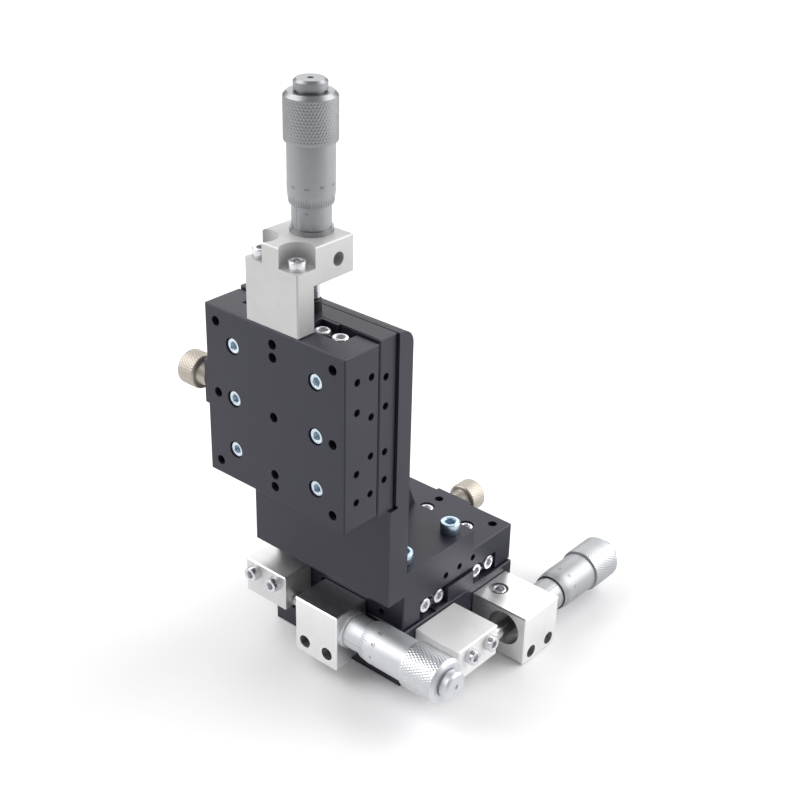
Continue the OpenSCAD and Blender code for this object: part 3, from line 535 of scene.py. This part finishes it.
SCREW_AROUND = 48
SCREW_SMOOTH = 35
SOCKET_SHARE = 0.48
SOCKET_TURN = 60
SOCKET_FLOOR_SHARE = 0.42
DRILL_SHARE = 0.35
MOUTH_SHARE = 1.12
MOUTH_DEPTH_SHARE = 0.12
RIM_SHARE = 0.14
RIM_STEPS = 3
TIP_INSET = 0.15
TIP_BEVEL = 0.3
UNDER_INSET = 0.1
UNDER_BEVEL = 0.12
FLUTE_DEPTH = 0.05

# Radius at which a turned body's outline stops short of its axis, and a step too thin to see
AXIS_R = 0.05
SEAM = 0.01


def hex_radius(angle, flat):
    """Distance to the edge of a hexagon whose flats are this far from the middle."""
    sixth = math.pi / 3
    return flat / math.cos(angle % sixth - sixth / 2)


def screw_shape(head_r, head_h, shank_r, shank_len, flutes):
    """A socket head screw with a rounded rim, a hexagon socket and a chamfered socket mouth.

    Its rings are c for a circle, h for a hexagon and s for a circle that may have flutes.
    """
    flat = head_r * SOCKET_SHARE
    corner = flat / math.cos(math.pi / 6)
    rim = head_r * RIM_SHARE
    floor = head_h * SOCKET_FLOOR_SHARE
    rings = [("c", AXIS_R, -shank_len), ("c", shank_r - TIP_INSET, -shank_len)]
    rings += [("c", shank_r, -shank_len + TIP_BEVEL), ("c", shank_r, -SEAM)]
    rings += [("c", head_r - UNDER_INSET, 0.0), ("s", head_r, UNDER_BEVEL)]
    for i in range(RIM_STEPS + 1):
        turn = math.pi / 2 * i / RIM_STEPS
        kind = "s" if i == 0 else "c"
        rings.append((kind, head_r - rim + rim * math.cos(turn), head_h - rim + rim * math.sin(turn)))
    rings += [("c", corner * MOUTH_SHARE, head_h), ("h", flat, head_h - corner * MOUTH_DEPTH_SHARE)]
    rings += [("h", flat, floor), ("c", AXIS_R, floor - flat * DRILL_SHARE)]
    points = []
    for kind, r, z in rings:
        for k in range(SCREW_AROUND):
            angle = 2 * math.pi * k / SCREW_AROUND
            s = r
            if kind == "h":
                s = hex_radius(angle, r)
            if kind == "s" and flutes:
                s = r - FLUTE_DEPTH * (k % 2)
            points.append((s * math.cos(angle), s * math.sin(angle), z))
    return closed(points, ring_faces(len(rings), SCREW_AROUND), SCREW_AROUND)


def screws(name, body, places, head_d, head_h, shank_d, shank_len, material, slot_name, flutes=True):
    """One piece for all like screws of a body."""
    all_points = []
    all_faces = []
    points, faces = screw_shape(head_d / 2, head_h, shank_d / 2, shank_len, flutes)
    for place in places:
        turn = turned(random.uniform(0, SOCKET_TURN), "Z")
        start = len(all_points)
        all_points += [place @ turn @ Vector(p) for p in points]
        all_faces += [tuple(start + i for i in face) for face in faces]
    piece = add_piece(name, all_points, all_faces, Matrix(), material, SCREW_SMOOTH)
    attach(piece, body)
    return piece


def pair(half):
    return [-half, half]


def rail_screw_places(stage, xs):
    low = -SMALL_HEAD_H - TABLE_SCREW_SINK
    return [stage @ at(x, y, low) for x in xs for y in pair(TABLE_RAIL_Y)]


def rail_end_places(stage, length, y):
    places = []
    for s in (-1, 1):
        places += [stage @ at(s * length / 2, e, GUIDE_Z) @ turned(s * 90, "Y") for e in pair(y)]
    return places


def lock_plate_screw_places(stage):
    y = TABLE_SIDE / 2 + LOCK_PLATE_T - COUNTERSINK_H
    return [stage @ at(x, y, BASE_SIDE_Z) @ TO_BACK for x in pair(LOCK_SCREW_HALF)]


RAIL_SCREW_SHANK = WEB_T - SMALL_HEAD_H - TABLE_SCREW_SINK + RAIL_THREAD
TABLE_XS = [-RAIL_SCREW_X, 0, RAIL_SCREW_X]


def small_screws(name, body, places, shank_len, material=zinc):
    sizes = (SMALL_HEAD_D, SMALL_HEAD_H, SMALL_D, shank_len)
    return screws(name, body, places, *sizes, material, "screw_steel")


def end_screws(name, body, places):
    sizes = (END_HEAD_D, END_HEAD_H, END_SHANK_D, END_SHANK_LEN)
    return screws(name, body, places, *sizes, zinc, "screw_steel", False)


def flat_screws(name, body, places):
    depth = COUNTERSINK_H - SCREW_GAP
    shank = LOCK_PLATE_T - COUNTERSINK_H
    return screws(name, body, places, COUNTERSINK_D, depth, SMALL_D, shank, zinc, "screw_steel", False)


def dark_screws(name, body, places, shank_len):
    sizes = (DARK_HEAD_D, SMALL_HEAD_H, DARK_SHANK_D, shank_len)
    return screws(name, body, places, *sizes, black_oxide, "black_oxide")


y_holder_right = TABLE_SIDE / 2 + Y_HOLDER_W
y_holder_top = Y_HOLDER_LIFT + Y_HOLDER_H
x_holder_front = -TABLE_SIDE / 2 - X_HOLDER_DEPTH
dark_depth = DARK_SINK + SMALL_HEAD_H
y_screw_z = Y_HOLDER_LIFT + Y_SCREW_RISE
x_screw_z = MIDDLE_LOW + X_SCREW_RISE

screw_groups = {
    "y_base_screws": [
        end_screws("y_base_end_screws", "y_base", rail_end_places(Y_FRAME, Y_RAIL_LEN, BASE_RAIL_Y)),
        flat_screws("y_plate_screws", "y_base", lock_plate_screw_places(Y_FRAME)),
        dark_screws("y_holder_dark_screws", "y_base", [
            at(y_holder_right - dark_depth, Y_HOLDER_MID + s, y_screw_z) @ TO_RIGHT
            for s in pair(HOLDER_SCREW_HALF)], Y_HOLDER_W - dark_depth),
        small_screws("y_clamp_screw", "y_base", [
            at(TABLE_SIDE / 2 + CLAMP_OUT, Y_HOLDER_FRONT + CLAMP_BACK, y_holder_top - SMALL_HEAD_H)],
            Y_HOLDER_H / 2 - SMALL_HEAD_H),
    ],
    "middle_screws": [
        small_screws("y_push_screws", "y_stage", [
            at(BASE_LEN / 2 + Y_PUSH_W, Y_PUSH_MID + s, Y_PUSH_SCREW_Z) @ TO_RIGHT
            for s in pair(PUSH_SCREW_HALF)], Y_PUSH_W),
        small_screws("y_rail_screws", "y_stage",
                     rail_screw_places(Y_FRAME, pair(Y_RAIL_SCREW_X)), RAIL_SCREW_SHANK),
        dark_screws("x_holder_dark_screws", "y_stage", [
            at(X_HOLDER_MID + s, x_holder_front + dark_depth, x_screw_z) @ TO_FRONT
            for s in pair(HOLDER_SCREW_HALF)], X_HOLDER_DEPTH - dark_depth),
        end_screws("middle_end_screws", "y_stage", [
            *rail_end_places(Y_FRAME, Y_RAIL_LEN, TABLE_RAIL_Y),
            *rail_end_places(X_FRAME, RAIL_LEN, BASE_RAIL_Y)]),
        flat_screws("x_plate_screws", "y_stage", lock_plate_screw_places(X_FRAME)),
    ],
    "x_table_screws": [
        small_screws("x_rail_screws", "x_stage", rail_screw_places(X_FRAME, TABLE_XS), RAIL_SCREW_SHANK),
        small_screws("x_push_screws", "x_stage", [
            at(X_PUSH_MID + s, -TABLE_SIDE / 2 - X_PUSH_DEPTH, X_PUSH_SCREW_Z) @ TO_FRONT
            for s in pair(PUSH_SCREW_HALF)], X_PUSH_DEPTH),
    ],
    "x_rail_end_screws": [
        end_screws("x_stage_end_screws", "x_stage", [
            *rail_end_places(X_FRAME, RAIL_LEN, TABLE_RAIL_Y),
            *rail_end_places(Z_FRAME, RAIL_LEN, BASE_RAIL_Y)]),
        flat_screws("z_plate_screws", "x_stage", lock_plate_screw_places(Z_FRAME)),
    ],
    "bracket_screws": [
        screws("foot_screws", "x_stage",
               [at(x, y, X_TABLE_TOP + FOOT_T) for x in pair(HOLE_HALF) for y in (0, -HOLE_HALF)],
               FOOT_HEAD_D, FOOT_HEAD_H, FOOT_SHANK_D, FOOT_T + FOOT_THREAD, blue_zinc, "screw_steel"),
    ],
    "z_table_screws": [
        small_screws("z_rail_screws", "z_stage",
                     rail_screw_places(Z_FRAME, TABLE_XS), RAIL_SCREW_SHANK, pale_zinc),
    ],
    "z_holder_screws": [
        small_screws("z_top_screws", "z_stage",
                     [at(x, Z_FACE_Y + POCKET_Y, Z_HOLDER_TOP - POCKET_D) for x in pair(Z_SCREW_X)],
                     Z_HOLDER_H - POCKET_D + Z_THREAD),
    ],
    "z_rail_end_screws": [
        end_screws("z_stage_end_screws", "z_stage", rail_end_places(Z_FRAME, RAIL_LEN, TABLE_RAIL_Y)),
    ],
}

for node_name, pieces in screw_groups.items():
    for piece in pieces:
        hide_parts(node_name)


# Micrometer heads

KNURL_AROUND = 288
KNURL_TEETH = 48
KNURL_DEPTH = 0.17
KNURL_STEP = 0.15
KNURL_ANGLE = 30
KNURL_SMOOTH = 60
TURNED_AROUND = 144
TURNED_SMOOTH = 30

# Small steps of a thimble's outlines
BORE_EASE = 0.05
LIP_RISE = 0.08
TAPER_DROP = 0.03
TAPER_BLEND = 0.1
SHOULDER_INSET = 0.45
SHOULDER_EASE = 0.2
SHOULDER_RISE = 0.15
KNURL_LEAD = 0.45
KNURL_TAIL = 0.35
GRIP_FOOT_INSET = 0.22
GRIP_FOOT_RISE = 0.1
GRIP_RIM_INSET = 0.1
END_LAP_INSET = 0.12
END_LAP = 0.05
END_EASE_INSET = 0.25
END_EASE_RISE = 0.2


def knurl(teeth, depth, radius):
    """A diamond knurl: two crossed sets of grooves that slant to the axis."""
    twist = math.tan(math.radians(KNURL_ANGLE)) / radius

    def shape(angle, r, z):
        one = abs(math.sin(teeth / 2 * (angle + twist * z)))
        two = abs(math.sin(teeth / 2 * (angle - twist * z)))
        return r - depth * (1 - min(one, two))

    return shape


def grip_rings(r, low, high, step):
    count = max(2, round((high - low) / step))
    return [(r, low + (high - low) * i / count) for i in range(count + 1)]


def add_thimble(name, body, place, material, knurl_material):
    """The thimble in three pieces: its smooth sleeve, its knurled grip and the bevelled end."""
    bore = BARREL_R + THIMBLE_GAP
    taper_end = THIMBLE_START + THIMBLE_TAPER
    outline = [(SPINDLE_BORE_R, BORE_END), (bore, BORE_END)]
    outline += [(bore, THIMBLE_START + BORE_EASE), (bore + BORE_EASE, THIMBLE_START)]
    outline += [(bore + THIMBLE_EDGE, THIMBLE_START)]
    outline += [(bore + THIMBLE_EDGE + BORE_EASE, THIMBLE_START + LIP_RISE)]
    outline += [(THIMBLE_R - TAPER_DROP, taper_end - TAPER_BLEND), (THIMBLE_R, taper_end + TAPER_BLEND)]
    outline += [(THIMBLE_R, THIMBLE_BODY), (GRIP_R - SHOULDER_INSET, THIMBLE_BODY)]
    outline += [(GRIP_R - SHOULDER_EASE, THIMBLE_BODY + SHOULDER_RISE)]
    points, faces = lathe(outline, TURNED_AROUND)
    sleeve = add_piece(f"{name}_sleeve", points, faces, place, material, TURNED_SMOOTH)
    outline = [(GRIP_R - GRIP_FOOT_INSET, THIMBLE_BODY + GRIP_FOOT_RISE)]
    outline += grip_rings(GRIP_R, THIMBLE_BODY + KNURL_LEAD, GRIP_END - KNURL_TAIL, KNURL_STEP)
    outline += [(GRIP_R - GRIP_RIM_INSET, GRIP_END)]
    cut = knurl(KNURL_TEETH, KNURL_DEPTH, GRIP_R)
    points, faces = lathe(outline, KNURL_AROUND, lambda a, r, z: cut(a, r, z) if r == GRIP_R else r)
    grip = add_piece(f"{name}_grip", points, faces, place, knurl_material, KNURL_SMOOTH)
    outline = [(GRIP_R - END_LAP_INSET, GRIP_END - END_LAP), (GRIP_R - GRIP_RIM_INSET, GRIP_END)]
    outline += [(GRIP_R - END_EASE_INSET, GRIP_END + END_EASE_RISE), (GRIP_R - GRIP_BEVEL, THIMBLE_END)]
    outline += [(SPINDLE_BORE_R, THIMBLE_END), (SPINDLE_BORE_R, BORE_END)]
    points, faces = lathe(outline, TURNED_AROUND)
    end = add_piece(f"{name}_end", points, faces, place, material, TURNED_SMOOTH)
    for piece in (sleeve, grip, end):
        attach(piece, body)
        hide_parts(name)


INK_LIFT = 0.012
INK_SINK = 0.03
LINE_HALF = 0.045


def wrapped_box(r, angle, z, half_angle, half_z, lift):
    """A thin raised strip on a cylinder or cone, as 8 corners and 5 faces; r is (low, high)."""
    points = []
    for height in (-INK_SINK, lift):
        for s, t in ((-1, -1), (1, -1), (1, 1), (-1, 1)):
            radius = (r[0] if t < 0 else r[1]) + height
            a = angle + s * half_angle
            points.append((radius * math.cos(a), radius * math.sin(a), z + t * half_z))
    faces = [(4, 5, 6, 7), (0, 1, 5, 4), (1, 2, 6, 5), (2, 3, 7, 6), (3, 0, 4, 7)]
    return points, faces


def joined(parts):
    points = []
    faces = []
    for part_points, part_faces in parts:
        start = len(points)
        points += part_points
        faces += [tuple(start + i for i in face) for face in part_faces]
    return points, faces


def figure(text, size, r, angle, z):
    """Numerals bent round a cylinder, with their base line along the axis."""
    curve = bpy.data.curves.new("figure", "FONT")
    curve.body = text
    curve.size = size
    curve.align_x = "CENTER"
    curve.align_y = "CENTER"
    curve.resolution_u = NUMERAL_STEPS
    temporary = bpy.data.objects.new("figure", curve)
    mesh = temporary.to_mesh()
    points = []
    for vertex in mesh.vertices:
        turn = angle + vertex.co.y / r
        points.append((r * math.cos(turn), r * math.sin(turn), z + vertex.co.x))
    faces = [tuple(face.vertices) for face in mesh.polygons]
    temporary.to_mesh_clear()
    bpy.data.objects.remove(temporary)
    bpy.data.curves.remove(curve)
    return points, faces


NUMERAL_STEPS = 3
THIMBLE_MARKS = 50
MARKS_TO_NUMERAL = 5
THIMBLE_LONG = 2.7
THIMBLE_SHORT = 1.8
THIMBLE_MARK_RISE = 0.25
THIMBLE_NUMERAL = 1.9
THIMBLE_NUMERAL_RISE = 2.4
BARREL_MARKS_RISE = 0.5
BARREL_MARKS_PAST = 7
BARREL_LONG = 2.4
BARREL_SHORT = 1.5
BARREL_MARK_HALF = 0.05
BARREL_NUMERAL = 1.6
BARREL_NUMERAL_OUT = 3.5
HALVES_TO_NUMERAL = 10


def add_thimble_marks(name, body, place, start_angle):
    """Fifty graduations on the taper, and a numeral at each fifth."""
    bore = BARREL_R + THIMBLE_GAP
    low_r = bore + THIMBLE_EDGE + BORE_EASE
    rise = (THIMBLE_R - TAPER_DROP - low_r) / (THIMBLE_TAPER - 2 * TAPER_BLEND)
    low_z = THIMBLE_START + THIMBLE_MARK_RISE
    figure_z = THIMBLE_START + THIMBLE_TAPER + THIMBLE_NUMERAL_RISE
    parts = []
    for i in range(THIMBLE_MARKS):
        angle = start_angle + 2 * math.pi * i / THIMBLE_MARKS
        long = i % MARKS_TO_NUMERAL == 0
        length = THIMBLE_LONG if long else THIMBLE_SHORT
        r = (low_r + rise * THIMBLE_MARK_RISE, low_r + rise * (THIMBLE_MARK_RISE + length))
        parts.append(wrapped_box(r, angle, low_z + length / 2, LINE_HALF / THIMBLE_R, length / 2, INK_LIFT))
        if long:
            parts.append(figure(str(i), THIMBLE_NUMERAL, THIMBLE_R + INK_LIFT, angle, figure_z))
    points, faces = joined(parts)
    piece = add_piece(f"{name}_marks", points, faces, place, ink)
    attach(piece, body)


def add_barrel_marks(name, body, place, angle):
    """The index line with a graduation for each millimetre on one side and each half on the other."""
    parts = []
    low = FLANGE_T + BARREL_MARKS_RISE
    high = THIMBLE_START + BARREL_MARKS_PAST
    on_barrel = (BARREL_R, BARREL_R)
    middle_z = (low + high) / 2
    parts.append(wrapped_box(on_barrel, angle, middle_z, LINE_HALF / BARREL_R, (high - low) / 2, INK_LIFT))
    steps = int((high - low) / THREAD_PITCH)
    for i in range(steps + 1):
        z = low + i * THREAD_PITCH
        long = i % HALVES_TO_NUMERAL == 0
        length = BARREL_LONG if long else BARREL_SHORT
        side = 1 if i % 2 == 0 else -1
        middle = angle + side * length / 2 / BARREL_R
        half_angle = length / 2 / BARREL_R
        parts.append(wrapped_box(on_barrel, middle, z, half_angle, BARREL_MARK_HALF, INK_LIFT))
        if long:
            turn = angle + BARREL_NUMERAL_OUT / BARREL_R
            parts.append(figure(str(i // 2), BARREL_NUMERAL, BARREL_R + INK_LIFT, turn, z))
    points, faces = joined(parts)
    piece = add_piece(f"{name}_marks", points, faces, place, ink)
    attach(piece, body)


# For each head: its letter, its frame, the turn of its index line in degrees and the body of its barrel
heads = [
    ("x", X_MICROMETER, -90, "y_stage"),
    ("y", Y_MICROMETER, -60, "y_base"),
    ("z", Z_MICROMETER, -93, "z_stage"),
]
for axis, (letter, place, index_turn, barrel_body) in enumerate(heads):
    body = f"{letter}_micrometer"
    index_angle = math.radians(index_turn)
    add_thimble(f"{letter}_thimble", body, place, turned_chrome[axis], knurl_chrome[axis])
    add_thimble_marks(f"{letter}_thimble", body, place, index_angle)
    add_barrel_marks(f"{letter}_barrel", barrel_body, place, index_angle)


# Lock knobs

KNOB_AROUND = 210
KNOB_TEETH = 42
KNOB_KNURL_DEPTH = 0.2
KNOB_KNURL_STEP = 0.18
KNOB_SMOOTH = 50
KNOB_BEVEL = 0.6
KNOB_EASE_INSET = 0.25
KNOB_EASE_RISE = 0.35
NECK_EASE = 0.2
NECK_FILLET = 0.3
LOCK_TIP_BEVEL = 0.3
DISH_RIM = 1.6
DISH_INSET = 1.9
DISH_DEPTH = 0.25


def add_knob(name, body, stage, pressed_y):
    """A knurled knob with a relieved neck, a chamfered rim and a dished end, on its screw."""
    neck = TABLE_SIDE / 2 + LOCK_PLATE_T + PASS_GAP
    grip = neck + KNOB_NECK_LEN
    end = grip + KNOB_LEN
    r = KNOB_R
    place = stage @ at(0, 0, -LOCK_DEPTH) @ TO_BACK
    outline = [(AXIS_R, pressed_y + PASS_GAP), (LOCK_SCREW_R - LOCK_TIP_BEVEL, pressed_y + PASS_GAP)]
    outline += [(LOCK_SCREW_R, pressed_y + 2 * PASS_GAP)]
    outline += [(LOCK_SCREW_R, neck), (KNOB_NECK_R - NECK_EASE, neck)]
    outline += [(KNOB_NECK_R, neck + NECK_EASE), (KNOB_NECK_R, grip - NECK_FILLET)]
    outline += [(KNOB_NECK_R + NECK_FILLET, grip), (r - KNOB_BEVEL, grip)]
    outline += [(r - KNOB_EASE_INSET, grip + KNOB_EASE_RISE)]
    outline += grip_rings(r, grip + KNOB_BEVEL, end - KNOB_BEVEL, KNOB_KNURL_STEP)
    outline += [(r - KNOB_EASE_INSET, end - KNOB_EASE_RISE), (r - KNOB_BEVEL, end), (r - DISH_RIM, end)]
    outline += [(r - DISH_INSET, end - DISH_DEPTH), (AXIS_R, end - DISH_DEPTH)]
    cut = knurl(KNOB_TEETH, KNOB_KNURL_DEPTH, r)
    points, faces = lathe(outline, KNOB_AROUND, lambda a, s, z: cut(a, s, z) if s == r else s)
    points, faces = closed(points, faces, KNOB_AROUND)
    piece = add_piece(f"{name}_knurled", points, faces, place, nickel, KNOB_SMOOTH)
    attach(piece, body)
    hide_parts(name)


add_knob("x_lock_knob", "x_knob", X_FRAME, TABLE_SIDE / 2)
add_knob("y_lock_knob", "y_knob", Y_FRAME, BASE_LEN / 2)
add_knob("z_lock_knob", "z_knob", Z_FRAME, TABLE_SIDE / 2)


# Return springs

# The gap between wire and pin. The coil widens over one part in twelve of its length at each end
PIN_GAP = 0.1
SPRING_RAMP = 12
STEPS_FOR_A_TURN = 24
WIRE_AROUND = 10
NEARLY_ALONG = 0.9


def spring_points():
    """The route of the wire: straight out of one pin, round the coil and straight into the other."""
    first = (-SPRING_HALF - HOOK_LEN + PIN_R + PIN_GAP, 0, SPRING_Z)
    points = [first]
    count = SPRING_TURNS * STEPS_FOR_A_TURN
    for i in range(count + 1):
        t = i / count
        turn = 2 * math.pi * SPRING_TURNS * t
        ramp = min(1, SPRING_RAMP * t, SPRING_RAMP * (1 - t)) * SPRING_R
        points.append(((2 * t - 1) * SPRING_HALF, ramp * math.cos(turn), SPRING_Z + ramp * math.sin(turn)))
    points.append((-first[0], 0, SPRING_Z))
    return points


def add_spring(name, stage):
    """A coil that stretches between the pin of the fixed body and the pin of the moving one."""
    route = [Vector(p) for p in spring_points()]
    points = []
    for i, here in enumerate(route):
        way = (route[min(i + 1, len(route) - 1)] - route[max(i - 1, 0)]).normalized()
        across = Vector((1, 0, 0)) if abs(way.x) < NEARLY_ALONG else Vector((0, 1, 0))
        side = way.cross(across).normalized()
        other = way.cross(side)
        for k in range(WIRE_AROUND):
            a = 2 * math.pi * k / WIRE_AROUND
            points.append(here + SPRING_WIRE_R * (math.cos(a) * side + math.sin(a) * other))
    points, faces = closed(points, ring_faces(len(route), WIRE_AROUND), WIRE_AROUND)
    piece = add_piece(f"{name}_coil", points, faces, stage, spring_wire)
    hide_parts(name)
    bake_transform(piece)


add_spring("x_spring", X_FRAME)
add_spring("y_spring", Y_FRAME)
add_spring("z_spring", Z_FRAME)


# Floor and light, in metres

FLOOR_COLOUR = (0.95, 0.95, 0.955)
FLOOR_HALF = 3
PAPER_GRAIN = 900
PAPER_ROUGHNESS = (0.75, 0.85)
SKY_STRENGTH = 0.40
ON_THE_PART = (0, 0, 0.05)
ON_THE_FLOOR_BEHIND = (-0.75, 0.95, 0)

# For each softbox: its name, place, aim, side in metres and power in watts
SOFTBOXES = [
    ("left", (-0.55, -0.45, 0.65), ON_THE_PART, 0.9, 7.0),
    ("right", (0.50, 0.60, 0.55), ON_THE_PART, 0.9, 8.5),
    ("back", (-0.90, 1.15, 0.8), ON_THE_FLOOR_BEHIND, 1.2, 8),
]


def add_floor():
    material, tree, shader = new_material("floor_paper")
    flat = object_coordinates(tree, UNSTRETCHED)
    uneven = ranged(tree, noise(tree, flat, PAPER_GRAIN), *PAPER_ROUGHNESS)
    tree.links.new(uneven, shader.inputs["Roughness"])
    shader.inputs["Base Color"].default_value = (*FLOOR_COLOUR, 1)
    mesh = bpy.data.meshes.new("floor")
    side = FLOOR_HALF
    corners = [(-side, -side, 0), (side, -side, 0), (side, side, 0), (-side, side, 0)]
    mesh.from_pydata(corners, [], [(0, 1, 2, 3)])
    floor = bpy.data.objects.new("floor", mesh)
    bpy.context.scene.collection.objects.link(floor)
    mesh.materials.append(material)


def add_softbox(name, place, target, side, power):
    data = bpy.data.lights.new(name, "AREA")
    data.shape = "RECTANGLE"
    data.size = side
    data.size_y = side
    data.energy = power
    lamp = bpy.data.objects.new(name, data)
    bpy.context.scene.collection.objects.link(lamp)
    lamp.location = place
    aim = Vector(target) - Vector(place)
    lamp.rotation_euler = aim.to_track_quat("-Z", "Y").to_euler()


def light_scene():
    world = bpy.data.worlds.new("studio")
    bpy.context.scene.world = world
    world.use_nodes = True
    sky = world.node_tree.nodes["Background"]
    sky.inputs["Color"].default_value = (1, 1, 1, 1)
    sky.inputs["Strength"].default_value = SKY_STRENGTH
    for softbox in SOFTBOXES:
        add_softbox(*softbox)
    bpy.context.scene.view_settings.view_transform = "Standard"


add_floor()
light_scene()
